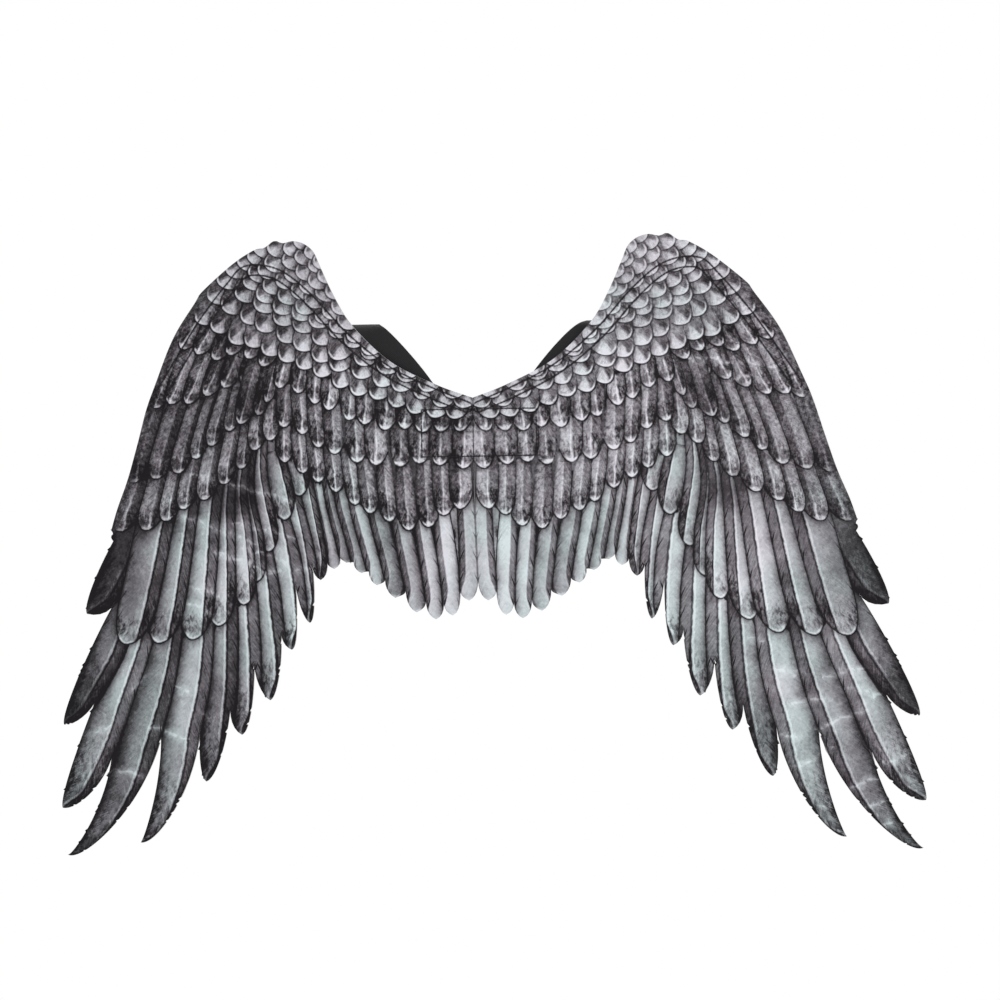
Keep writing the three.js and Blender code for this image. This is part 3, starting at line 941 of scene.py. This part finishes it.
def printed_felt():
    """Grey feathers printed on felt, drawn from the places that the mesh's UV maps hold."""
    g = Graph("printed_felt", 0.88)
    across, from_tip = g.uv("FeatherPlace")
    width, tone = g.uv("FeatherShape")
    own, cover = g.uv("FeatherEdge")
    kind, shade = g.uv("FeatherLook")
    crease, lead = g.uv("Creases")
    is_quill, is_blade, is_covert, is_scale, is_margin = (
        g.math("COMPARE", kind, wanted, 0.5) for wanted in (QUILL, BLADE, COVERT, SCALE, MARGIN)
    )

    # Barbs run outwards and towards the tip on both sides of the quill
    point = g.object_point()
    slant = g.add(from_tip, g.times(g.size(across), 1.5))
    strokes = g.combine(g.times(slant, 0.8), g.times(across, 0.14), g.times(tone, 90))
    barbs = g.add(g.noise(strokes, 1, 3, 0.65), -0.5)
    patches = g.combine(g.times(from_tip, 0.15), g.times(across, 0.3), g.times(tone, 70))
    spots = g.step(g.noise(patches, 1, 4, 0.7), 0.34, 0.66)

    # Each kind of feather has its own print
    x, z = (g.times(g.parts(point)[axis], 1 / MM) for axis in (0, 2))
    x = g.add(x, SEAM_OFFSET)
    outward = g.step(g.size(x), 160, 260)
    vane = (g, from_tip, width, barbs, spots, tone)
    light, grey_vane = long_print(*vane, own, is_quill, is_blade, outward)
    light = g.choose(is_covert, light, covert_print(*vane, own))
    light = g.choose(is_scale, light, scale_print(*vane))

    # The bright crescent at each tip, stronger on its outer side
    rim = g.times(g.step(own, 0.3, 0.7), g.step(own, 2.4, 1.0))
    rim = g.times(rim, g.step(from_tip, g.choose(is_scale, 7.0, 10.0), 3.0), g.step(width, -1.0, 0.1))
    rim = g.times(rim, g.less(g.times(is_quill, 0.6)), g.add(0.72, g.times(spots, 0.28)))
    light = g.choose(g.times(rim, g.less(is_margin)), light, 0.88)

    # The black outline and the shade that a feather throws on those beneath it
    uneven = g.add(cover, g.times(barbs, 1.6))
    depth = g.choose(g.times(grey_vane, g.less(is_scale), g.less(is_covert)), 0.6, 0.45)
    depth = g.choose(is_scale, depth, 0.36)
    light = g.times(light, g.less(g.times(g.step(uneven, 1.5, 0.4), g.choose(is_scale, 0.8, 0.5))))
    light = g.times(light, g.less(g.times(g.math("POWER", 0.76, cover), depth)))

    # A dark border runs down the leading edge
    border = g.math("MAXIMUM", is_margin, g.step(g.add(lead, g.times(barbs, 0.5)), 0.36, 0.66))
    light = g.choose(g.times(border, 0.85), light, g.add(0.22, g.times(spots, 0.16), g.times(barbs, 0.6)))
    light = g.times(light, shade)

    # The left wing's colour is made darker and harder
    light = g.choose(g.step(x, 0.5, -0.5), light, g.add(g.times(light, LEFT_CONTRAST), -LEFT_DARKENING))

    # Painted sheen: the colour is made paler and softer near the neckline side of each hump, where a soft
    # gloss lies
    painted_sheen = g.times(g.step(z, 60, 120), g.step(g.size(x), 215, 140))
    light = g.choose(g.times(painted_sheen, 0.34), light, 0.5)

    # Painted highlights where the creases catch the light, and the ink lies unevenly
    crease_ridge_and_highlight = g.step(crease, 2.2, 0.2)
    light = g.add(light, g.times(crease_ridge_and_highlight, 0.17), g.times(g.step(crease, 7.0, 0.0), 0.1))
    light = g.add(light, g.times(g.add(g.noise(point, 50, 3), -0.5), 0.36))

    # Dents along the stitches with painted shade in them, small puckers over the stiffening channel with
    # painted light and shade, and painted shade along the centre seam's line
    left, right, bottom, top = PATCH_STITCHES
    from_side = g.add(g.size(g.add(x, -SEAM_OFFSET - (left + right) / 2)), (left - right) / 2)
    from_end = g.add(g.size(g.add(z, -(bottom + top) / 2)), (bottom - top) / 2)
    frame_line = g.size(g.math("MAXIMUM", from_side, from_end))
    channel, along = g.uv("Channel")
    channel_stitches = g.size(g.add(g.size(channel), -CHANNEL_SEAM))
    dent_and_shade = g.step(g.math("MINIMUM", g.add(frame_line, g.times(spots, 0.8)), channel_stitches), 1.3, 0.2)
    on_channel = g.step(g.size(channel), 7.5, 3.0)
    puckers = g.add(g.noise(g.combine(g.times(along, 0.4), g.times(channel, 0.09)), 1, 2), -0.5)
    puckers = g.times(puckers, on_channel)
    # Painted shade in the stitch dents and along the centre seam
    light = g.times(light, g.less(g.times(dent_and_shade, 0.6)), g.less(g.times(g.step(g.size(x), 1.0, 0.2), 0.5)))
    # Painted light and shade on the channel's puckers
    light = g.add(light, g.times(puckers, 0.6))

    # The fibres break the ink up
    speckle = g.add(g.noise(point, 1100, 2, 0.7), g.noise(point, 330, 2), -1.0)
    light = g.add(light, g.times(speckle, g.choose(is_covert, g.choose(is_scale, 0.24, 0.4), 0.5)))

    # The ink runs from dark to light, and is warmer on coverts, scales and grey vanes
    settings = bpy.context.scene.wing_settings
    tones = ((0.07, 0), (0.26, 0.215), (0.47, 0.525), (0.66, 0.78), (0.93, 1))
    stops = [(at, between_colors(settings.dark_ink, settings.light_ink, share)) for at, share in tones]
    warm_kinds = g.choose(g.add(is_covert, is_scale), g.times(grey_vane, 0.14), 0.12)
    warm_darks = g.times(g.step(light, 0.7, 0.35), 0.12)
    warmth = g.add(g.noise(point, 14, 2), -0.03, warm_kinds, warm_darks, g.times(z, 0.0004))
    tint = g.ramp(warmth, [(0.34, (0.968, 0.996, 1.0)), (0.7, (1.0, 0.955, 0.99))])
    g.tinted_color(g.ramp(light, stops), tint)
    height = g.add(g.felt_height(), g.times(crease_ridge_and_highlight, 0.9), g.times(on_channel, 1.2), g.times(puckers, 3.5))
    g.bump(g.add(height, g.times(dent_and_shade, -1.0)), 0.5, 0.0006)


def plain_felt():
    g = Graph("plain_felt", 0.95, 0.2)
    felt = bpy.context.scene.wing_settings.felt
    fibres = g.noise(g.object_point(), 240, 4, 0.7)
    g.color(fibres, [(0.3, scaled_color(felt, 0.93)), (0.7, scaled_color(felt, 1.06))])
    g.bump(g.felt_height(), 0.5, 0.0006)


def black_elastic():
    """Woven elastic: ribs along its length and fine picks across them."""
    rib_width, pick_width = 1.25, 0.9
    g = Graph("black_elastic", 0.72, 0.3)
    across, along = g.uv("Weave")
    ribs = g.add(g.times(g.math("SINE", g.times(across, 2 * math.pi / rib_width)), 0.5), 0.5)
    row = g.times(g.math("FLOOR", g.times(across, 1 / rib_width)), math.pi)
    wave = g.add(g.times(along, 2 * math.pi / pick_width), row)
    picks = g.add(g.times(g.math("SINE", wave), 0.5), 0.5)
    weave = g.add(g.times(ribs, 0.6), g.times(picks, 0.4))
    fuzz = g.noise(g.object_point(), 1400, 2)
    elastic = bpy.context.scene.wing_settings.elastic
    stops = [(0.1, scaled_color(elastic, 0.56)), (0.9, scaled_color(elastic, 1.44))]
    g.color(g.add(g.times(weave, 0.6), g.times(fuzz, 0.4)), stops)
    g.bump(weave, 0.6, 0.0003)


def black_thread():
    g = Graph("black_thread", 0.6, 0.3)
    thread = bpy.context.scene.wing_settings.thread_color
    twist = g.noise(g.object_point(), 3000, 2)
    g.color(twist, [(0.3, scaled_color(thread, 0.56)), (0.7, scaled_color(thread, 1.44))])


def pattern_space(x, z, side, y):
    """Places of the flat pattern in the frame, in metres, at a depth that may vary."""
    return np.stack([side * x - SEAM_OFFSET, y + hang_at(x, z), z], -1) * MM


def wing_piece(name, side, sheet, values, creases, thickness):
    """Hangs the flat sheet, with its crumples and creases, and gives it its thickness."""
    points, triangles = sheet
    place, shape, edge, look, lead = values
    x, z = points[:, 0], points[:, 1]
    crease = crease_values(points, creases)
    channel = channel_values(points)
    beside = np.abs(channel[:, 0])
    free = smoothstep(beside, 8, 20) * smoothstep(x, FLAT_HALF, 2 * FLAT_HALF)
    crumple = CRUMPLE_DEPTH * np.sin(x / 9 + 2 * np.sin(z / 23))
    crumple = crumple * np.sin(z / 13 + 1.5 * np.sin(x / 31) + side)
    ridge = CREASE_HEIGHT * np.exp(-((crease / CREASE_WIDTH) ** 2))
    padding = -PADDING_HEIGHT * np.exp(-((beside / PADDING_WIDTH) ** 4))
    seam_fold = SEAM_DEPTH * np.exp(-((x / SEAM_WIDTH) ** 2))
    depth = CLOTH_FRONT + seam_fold + padding - free * (LOOSE_DEPTH + crumple + ridge)
    space = pattern_space(np.maximum(x, 0.04), z, side, depth)
    order = [0, 1, 2] if side > 0 else [0, 2, 1]
    corners = (np.arange(len(triangles))[:, None] * 3 + order).ravel()
    obj = new_mesh_object(name, space.tolist(), triangles[:, order].tolist())
    maps = {
        "FeatherPlace": place,
        "FeatherShape": shape,
        "FeatherEdge": edge,
        "FeatherLook": look,
        "Creases": np.stack([crease[triangles.ravel()], lead], -1),
        "Channel": channel[triangles.ravel()],
    }
    for map_name, numbers in maps.items():
        set_uv(obj.data, map_name, numbers[corners])
    for material_name in ("printed_felt", "plain_felt"):
        obj.data.materials.append(bpy.data.materials[material_name])
    bpy.ops.object.modifier_add(type="SOLIDIFY")
    solidify = obj.modifiers[-1]
    solidify.thickness = thickness
    solidify.offset = -1
    solidify.material_offset = 1
    solidify.material_offset_rim = 1
    bpy.ops.object.modifier_apply(modifier=solidify.name)
    bpy.ops.object.shade_smooth_by_angle(angle=SMOOTH_ANGLE)
    return obj


def swept_piece(name, frames):
    """A closed strip through a list of sections, each with the same number of corners."""
    steps, corners = frames.shape[:2]
    faces = []
    for step in range(steps - 1):
        for corner in range(corners):
            after = (corner + 1) % corners
            a, b = step * corners + corner, step * corners + after
            faces.append((a, b, b + corners, a + corners))
    faces.append(tuple(range(corners))[::-1])
    faces.append(tuple(range((steps - 1) * corners, steps * corners)))
    return new_mesh_object(name, frames.reshape(-1, 3).tolist(), faces)


def casing_frames(side, steps):
    """Sections of a stay channel: two flat sewn hems and a raised middle with small puckers."""
    line, across = channel_path(steps)
    half = np.array([0.08, 0.17, 0.26, 0.33, 0.4, 0.46, 0.5])
    shares = np.concatenate([-half[::-1], half])
    crown = 1 - smoothstep(np.abs(shares), CHANNEL_CROWN / 2 - 0.05, 0.36)
    hem = CHANNEL_HEM * (1 - 0.5 * smoothstep(np.abs(shares), 0.45, 0.5))
    rise = hem + (CHANNEL_RISE - CHANNEL_HEM) * crown
    frames = []
    for step in range(steps):
        pucker = 0.22 * math.sin(step * 2.1) * math.sin(step * 0.37 + side) * (1 - crown)
        top = list(zip(shares, rise + pucker - 0.1))
        base = [(share, 0) for share in shares[::-3]]
        corners = []
        for share, height in top + base:
            x, z = line[step] + across[step] * share * CHANNEL_WIDTH
            corners.append(pattern_space(x, z, side, CHANNEL_BASE + height))
        frames.append(corners if side < 0 else corners[::-1])
    return np.array(frames)


def strap_frames(side, steps):
    """Sections of a shoulder strap, from the top of the back patch round to its lower edge."""
    first = math.asin((STRAP_ANCHOR_UP - LOOP_MIDDLE) / LOOP_RADIUS)
    last = 2 * math.pi - math.asin((STRAP_ANCHOR_UP + LOOP_MIDDLE) / LOOP_RADIUS)

    def middle(turn):
        rise, forward = np.sin(turn), np.cos(turn)
        reach = np.where(forward > 0, np.abs(rise) ** 1.4, 1.0)
        x = side * (STRAP_ANCHOR_OUT + (SHOULDER_OUT - STRAP_ANCHOR_OUT) * reach)
        y = STRAP_MIDDLE + LOOP_DEPTH * ((1 - forward) / 2) ** 2
        return np.stack([x, y, LOOP_MIDDLE + LOOP_RADIUS * rise], -1)

    turns = np.linspace(first, last, steps)
    line = middle(turns)
    along = unit(middle(turns + 0.01) - middle(turns - 0.01))
    out = np.stack([np.zeros(steps), -along[:, 2], along[:, 1]], -1)
    across = unit(np.cross(out, along))
    away = np.cross(along, across)
    half, thick = STRAP_WIDTH / 2, STRAP_THICKNESS / 2
    edge = [(1, 0), (0.98, 0.6), (0.94, 0.92), (0.6, 1), (0.2, 1)]
    ring = edge + [(-u, v) for u, v in edge[::-1]] + [(-u, -v) for u, v in edge[1:]]
    ring += [(u, -v) for u, v in edge[:0:-1]]
    frames = [line + across * u * half + away * v * thick for u, v in ring]
    lengths = np.concatenate([[0], np.cumsum(step_lengths(line))])
    return np.stack(frames, 1) * MM, np.array(ring) * (half, thick), lengths


def weave_uv(obj, ring, lengths):
    """Across and along the elastic, in millimetres, at each corner of the strip's faces."""
    corners = len(ring)
    values = []
    for face in obj.data.polygons:
        values += [(ring[vertex % corners][0], lengths[vertex // corners]) for vertex in face.vertices]
    set_uv(obj.data, "Weave", values)


def model_stitch(length, radius):
    """One stitch of thread: a slim grain whose ends go down into the cloth."""
    deselect()
    bpy.ops.mesh.primitive_uv_sphere_add(segments=6, ring_count=6, radius=1)
    stitch = bpy.context.object
    stitch.name = "stitch"
    bpy.ops.object.mode_set(mode="EDIT")
    bpy.ops.mesh.select_all(action="SELECT")
    bpy.ops.transform.resize(value=(radius, radius, length / 2))
    bpy.ops.object.mode_set(mode="OBJECT")
    for vertex in stitch.data.vertices:
        vertex.co.y += 0.9 * radius * (vertex.co.z / (length / 2)) ** 4
    return stitch


def sew(name, stitch, places):
    """Copies the stitch to each place: a middle, the way it runs and the way off the cloth."""
    shape = np.array([tuple(vertex.co) for vertex in stitch.data.vertices])
    shape_faces = [tuple(face.vertices) for face in stitch.data.polygons]
    points, faces = [], []
    for middle, ahead, off in places:
        across = np.cross(off, ahead)
        copied = middle + shape[:, :1] * across - shape[:, 1:2] * off + shape[:, 2:] * ahead
        faces += [tuple(len(points) + corner for corner in face) for face in shape_faces]
        points += copied.tolist()
    obj = new_mesh_object(name, points, faces)
    bpy.ops.object.mode_set(mode="EDIT")
    bpy.ops.mesh.select_all(action="SELECT")
    bpy.ops.mesh.normals_make_consistent(inside=False)
    bpy.ops.object.mode_set(mode="OBJECT")
    bpy.ops.object.shade_smooth()
    finish_piece(obj, "black_thread")


def stitch_line(line, pitch, off):
    """Places for stitches along a line in the frame, with the way off the cloth at each."""
    count = max(2, int(np.sum(step_lengths(line)) / pitch))
    even = along_curve(line, 2 * count + 1)
    places = []
    for number in range(count):
        start, middle, end = even[2 * number : 2 * number + 3]
        ahead = unit(end - start)
        places.append((middle, ahead, unit(off - ahead * (off @ ahead))))
    return places


def color_setting(name, description, default):
    return bpy.props.FloatVectorProperty(
        name=name, description=description, default=default, subtype="COLOR_GAMMA", min=0, max=1
    )


def size_setting(name, description, default, unit="LENGTH"):
    return bpy.props.FloatProperty(name=name, description=description, default=default, unit=unit)


class WingSettings(bpy.types.PropertyGroup):
    dark_ink: color_setting("Dark ink", "Darkest colour of the printed feathers", (0.102, 0.09, 0.098))
    light_ink: color_setting("Light ink", "Lightest colour of the printed feathers", (0.933, 0.957, 0.953))
    felt: color_setting("Felt", "Colour of the plain felt", (0.765, 0.757, 0.747))
    elastic: color_setting("Elastic", "Colour of the straps", (0.12, 0.118, 0.124))
    thread_color: color_setting("Thread colour", "Colour of the stitches", (0.114, 0.112, 0.122))
    cloth: size_setting("Cloth", "Thickness of the printed cloth", 0.0015)
    stitch: size_setting("Stitch", "Length of one stitch", 0.0028)
    thread: size_setting("Thread", "Thickness of the sewing thread", 0.0009)
    light: size_setting("Light", "Power of the main studio light", 40, "POWER")


def set_camera(scene):
    """A long lens, a little to one side and slightly rolled."""
    azimuth, elevation, roll = (math.radians(angle) for angle in CAMERA_ANGLES)
    flat = math.cos(elevation)
    ahead = Vector((-math.sin(azimuth) * flat, math.cos(azimuth) * flat, -math.sin(elevation)))
    right = Vector((math.cos(azimuth), math.sin(azimuth), 0))
    up = right.cross(ahead)
    turned_right = right * math.cos(roll) - up * math.sin(roll)
    turned_up = right * math.sin(roll) + up * math.cos(roll)
    turn = Matrix((turned_right, turned_up, -ahead)).transposed()
    data = bpy.data.cameras.new("camera")
    data.sensor_width = 36
    data.lens = CAMERA_LENS
    data.shift_x, data.shift_y = CAMERA_SHIFT
    data.clip_end = 50
    camera = bpy.data.objects.new("camera", data)
    camera.matrix_world = Matrix.Translation(-ahead * CAMERA_DISTANCE) @ turn.to_4x4()
    scene.collection.objects.link(camera)
    scene.camera = camera
    scene.view_settings.view_transform = "Standard"


def lay_floor():
    deselect()
    bpy.ops.mesh.primitive_plane_add(size=FLOOR_SIZE, location=(0, 0, FLOOR_Z))
    floor = bpy.context.object
    floor.name = "floor"
    graph = Graph("pale_floor", 0.8)
    graph.shader.inputs["Base Color"].default_value = linear((0.933, 0.933, 0.941))
    floor.data.materials.append(graph.material)


def set_backdrop(scene):
    """White where the camera looks at it, and softer as a light."""
    world = bpy.data.worlds.new("studio")
    world.use_nodes = True
    nodes, links = world.node_tree.nodes, world.node_tree.links
    backdrop = nodes["Background"]
    backdrop.inputs[0].default_value = (1, 1, 1, 1)
    soft = nodes.new("ShaderNodeBackground")
    soft.inputs[0].default_value = (0.97, 0.98, 1, 1)
    soft.inputs[1].default_value = 0.55
    mix = nodes.new("ShaderNodeMixShader")
    rays = nodes.new("ShaderNodeLightPath")
    links.new(rays.outputs["Is Camera Ray"], mix.inputs[0])
    links.new(soft.outputs[0], mix.inputs[1])
    links.new(backdrop.outputs[0], mix.inputs[2])
    links.new(mix.outputs[0], nodes["World Output"].inputs[0])
    scene.world = world


def set_lights(scene):
    for name, place, size, share in LIGHTS:
        data = bpy.data.lights.new(name, "AREA")
        data.shape = "SQUARE"
        data.size = size
        data.energy = scene.wing_settings.light * share
        light = bpy.data.objects.new(name, data)
        scene.collection.objects.link(light)
        light.location = place
        light.rotation_euler = (-Vector(place)).to_track_quat("-Z", "Y").to_euler()


class WINGS_OT_stage(bpy.types.Operator):
    """Set the camera, the floor and the lights"""

    bl_idname = "wings.stage"
    bl_label = "Stage"

    def execute(self, context):
        set_camera(context.scene)
        lay_floor()
        set_backdrop(context.scene)
        set_lights(context.scene)
        return {"FINISHED"}


class WINGS_OT_materials(bpy.types.Operator):
    """Mix the printed and plain felt, the elastic and the thread"""

    bl_idname = "wings.materials"
    bl_label = "Materials"

    def execute(self, context):
        for make in (printed_felt, plain_felt, black_elastic, black_thread):
            make()
        return {"FINISHED"}


class WINGS_OT_wings(bpy.types.Operator):
    """Cut, print and hang the two wings"""

    bl_idname = "wings.wings"
    bl_label = "Wings"

    def execute(self, context):
        cloth = context.scene.wing_settings.cloth
        points, triangles, top, feathers, outline = wing_sheet()
        values = print_values(points, triangles, top, feathers, outline)
        for (name, side), creases in zip(SIDES, (LEFT_CREASES, RIGHT_CREASES)):
            obj = wing_piece(f"{name}_printed_wing", side, (points, triangles), values, creases, cloth)
            finish_piece(obj, "printed_felt", f"{name}_wing")
        return {"FINISHED"}


class WINGS_OT_casings(bpy.types.Operator):
    """Lay the stiffening channels along the upper edges"""

    bl_idname = "wings.casings"
    bl_label = "Stay casings"

    def execute(self, context):
        for name, side in SIDES:
            frames = casing_frames(side, steps=150)
            obj = swept_piece(f"{name}_stay_casing", frames)
            bpy.ops.object.shade_smooth_by_angle(angle=SMOOTH_ANGLE)
            finish_piece(obj, "plain_felt", f"{name}_stay_channel")
        return {"FINISHED"}


def select_parts(mesh, kind, wanted):
    """From edit mode, selects the edges or faces that are wanted and no others."""
    bpy.ops.mesh.select_mode(type=kind)
    bpy.ops.mesh.select_all(action="DESELECT")
    bpy.ops.object.mode_set(mode="OBJECT")
    for part in mesh.edges if kind == "EDGE" else mesh.polygons:
        part.select = wanted(part)
    bpy.ops.object.mode_set(mode="EDIT")


class WINGS_OT_patch(bpy.types.Operator):
    """Cut the back patch with rounded corners and soft borders"""

    bl_idname = "wings.patch"
    bl_label = "Back patch"

    def execute(self, context):
        deselect()
        bpy.ops.mesh.primitive_cube_add(size=1, location=(0, 0, 0))
        patch = context.object
        patch.name = "felt_back_patch"
        mesh = patch.data
        corner_radius, border_radius = 4 * MM, 0.35 * MM

        def is_corner(edge):
            near, far = (mesh.vertices[vertex].co.y for vertex in edge.vertices)
            return abs(near - far) > 0.5 * MM

        def is_broad(face):
            return abs(face.normal.y) > 0.9

        bpy.ops.object.mode_set(mode="EDIT")
        bpy.ops.mesh.select_all(action="SELECT")
        bpy.ops.transform.resize(value=(PATCH_WIDTH * MM, PATCH_THICKNESS * MM, PATCH_HEIGHT * MM))
        bpy.ops.transform.translate(value=(0, -PATCH_THICKNESS / 2 * MM, 0))
        select_parts(mesh, "EDGE", is_corner)
        bpy.ops.mesh.bevel(offset=corner_radius, segments=6, affect="EDGES")
        select_parts(mesh, "FACE", is_broad)
        bpy.ops.mesh.region_to_loop()
        bpy.ops.mesh.bevel(offset=border_radius, segments=3, affect="EDGES")
        bpy.ops.object.mode_set(mode="OBJECT")
        bpy.ops.object.shade_smooth_by_angle(angle=math.radians(30))
        finish_piece(patch, "plain_felt", "back_patch")
        return {"FINISHED"}


class WINGS_OT_straps(bpy.types.Operator):
    """Loop the two elastic shoulder straps"""

    bl_idname = "wings.straps"
    bl_label = "Straps"

    def execute(self, context):
        for name, side in SIDES:
            frames, ring, lengths = strap_frames(side, steps=180)
            obj = swept_piece(f"{name}_elastic_strap", frames)
            weave_uv(obj, ring, lengths)
            bpy.ops.object.shade_smooth_by_angle(angle=SMOOTH_ANGLE)
            finish_piece(obj, "black_elastic", f"{name}_strap")
        return {"FINISHED"}


class WINGS_OT_stitches(bpy.types.Operator):
    """Sew the channels and the patch to the wings"""

    bl_idname = "wings.stitches"
    bl_label = "Stitches"

    def execute(self, context):
        settings = context.scene.wing_settings
        radius = settings.thread / 2
        stitch = model_stitch(settings.stitch, radius)
        pitch = settings.stitch + 0.2 * MM
        proud = 0.3 * radius / MM
        print_off, wearer_off = np.array((0.0, -1.0, 0.0)), np.array((0.0, 1.0, 0.0))
        line, across = channel_path(300)
        hem = CHANNEL_BASE + CHANNEL_HEM + proud
        front, back = [], []
        for side in (-1, 1):
            for sign in (-1, 1):
                x, z = (line + sign * CHANNEL_SEAM * across).T
                x = np.maximum(x, 0.5)
                front += stitch_line(pattern_space(x, z, side, CLOTH_FRONT - proud), pitch, print_off)
                back += stitch_line(pattern_space(x, z, side, hem), pitch, wearer_off)
        left, right, bottom, top = PATCH_STITCHES
        corners = ((left, top), (right, top), (right, bottom), (left, bottom), (left, top))
        for start, end in zip(corners, corners[1:]):
            for depth, off, places in ((CLOTH_FRONT - proud, print_off, front), (proud, wearer_off, back)):
                ends = np.array([(x, depth, z) for x, z in np.linspace(start, end, 40)]) * MM
                places += stitch_line(ends, pitch, off)
        sew("printed_side_stitches", stitch, front)
        sew("wearer_side_stitches", stitch, back)
        bpy.data.objects.remove(stitch)
        return {"FINISHED"}


class WINGS_PT_panel(bpy.types.Panel):
    bl_idname = "WINGS_PT_panel"
    bl_label = "Angel Wings"
    bl_space_type = "VIEW_3D"
    bl_region_type = "UI"
    bl_category = "Angel Wings"

    def draw(self, context):
        layout = self.layout
        for name in WingSettings.__annotations__:
            layout.prop(context.scene.wing_settings, name)
        for operator in OPERATORS:
            layout.operator(operator.bl_idname)


OPERATORS = (
    WINGS_OT_stage,
    WINGS_OT_materials,
    WINGS_OT_wings,
    WINGS_OT_casings,
    WINGS_OT_patch,
    WINGS_OT_straps,
    WINGS_OT_stitches,
)
CLASSES = (WingSettings, *OPERATORS, WINGS_PT_panel)


def register():
    for cls in CLASSES:
        bpy.utils.register_class(cls)
    bpy.types.Scene.wing_settings = bpy.props.PointerProperty(type=WingSettings)


def unregister():
    del bpy.types.Scene.wing_settings
    for cls in reversed(CLASSES):
        bpy.utils.unregister_class(cls)


def main():
    register()
    bpy.ops.wings.stage()
    bpy.ops.wings.materials()
    bpy.ops.wings.wings()
    bpy.ops.wings.casings()
    bpy.ops.wings.patch()
    bpy.ops.wings.straps()
    bpy.ops.wings.stitches()


if __name__ == "__main__":
    main()
